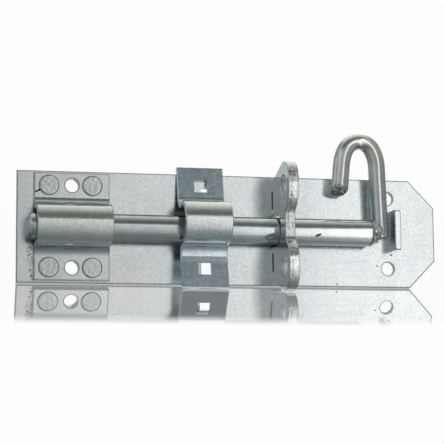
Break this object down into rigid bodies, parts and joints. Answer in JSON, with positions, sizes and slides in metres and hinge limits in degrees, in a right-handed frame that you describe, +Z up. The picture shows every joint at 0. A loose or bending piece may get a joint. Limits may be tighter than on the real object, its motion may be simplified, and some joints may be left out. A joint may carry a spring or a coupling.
{
  "type": "padbolt",
  "caption": "Zinc-plated padbolt: flat plate with a riveted guide strap and an eared padlock staple, a round sliding bolt with a hooked handle, and a loose strap keeper.",
  "frame": {"origin": "centre of the plate's back face, which lies against the door", "axes": "+X along the bolt from its nose to its handle, +Y into the door, +Z up; the front faces -Y"},
  "size_m": [0.254, 0.0406, 0.0977],
  "materials": {
    "plate_zinc": "bright zinc, cloudy, faint rolling marks",
    "strap_zinc": "bright zinc, satin, small scuffs and specks",
    "rivet_zinc": "bright zinc, hammered flat",
    "blanked_zinc": "bright zinc over sheared edges",
    "bar_zinc": "bright zinc over drawn bar",
    "hook_zinc": "bright zinc over drawn bar, shiny, welded foot",
    "keeper_zinc": "bright zinc, satin"
  },
  "bodies": {
    "base": {"back_plate": "plate_zinc", "bolt_guide": "strap_zinc", "guide_rivets": "rivet_zinc", "staple_plate": "blanked_zinc", "stop_lug": "blanked_zinc", "keeper": "keeper_zinc"},
    "bolt": {"bolt_rod": "bar_zinc"},
    "handle": {"hook_handle": "hook_zinc"}
  },
  "joints": [
    {"name": "bolt_slide", "type": "slide", "parent": "base", "child": "bolt", "axis": [1, 0, 0], "range_m": [-0.027, 0.0025]},
    {"name": "handle_turn", "type": "hinge", "parent": "bolt", "child": "handle", "pos_m": [0.08385, -0.0116, -0.00105], "axis": [1, 0, 0], "range_deg": [-5.3, 185.3]}
  ]
}
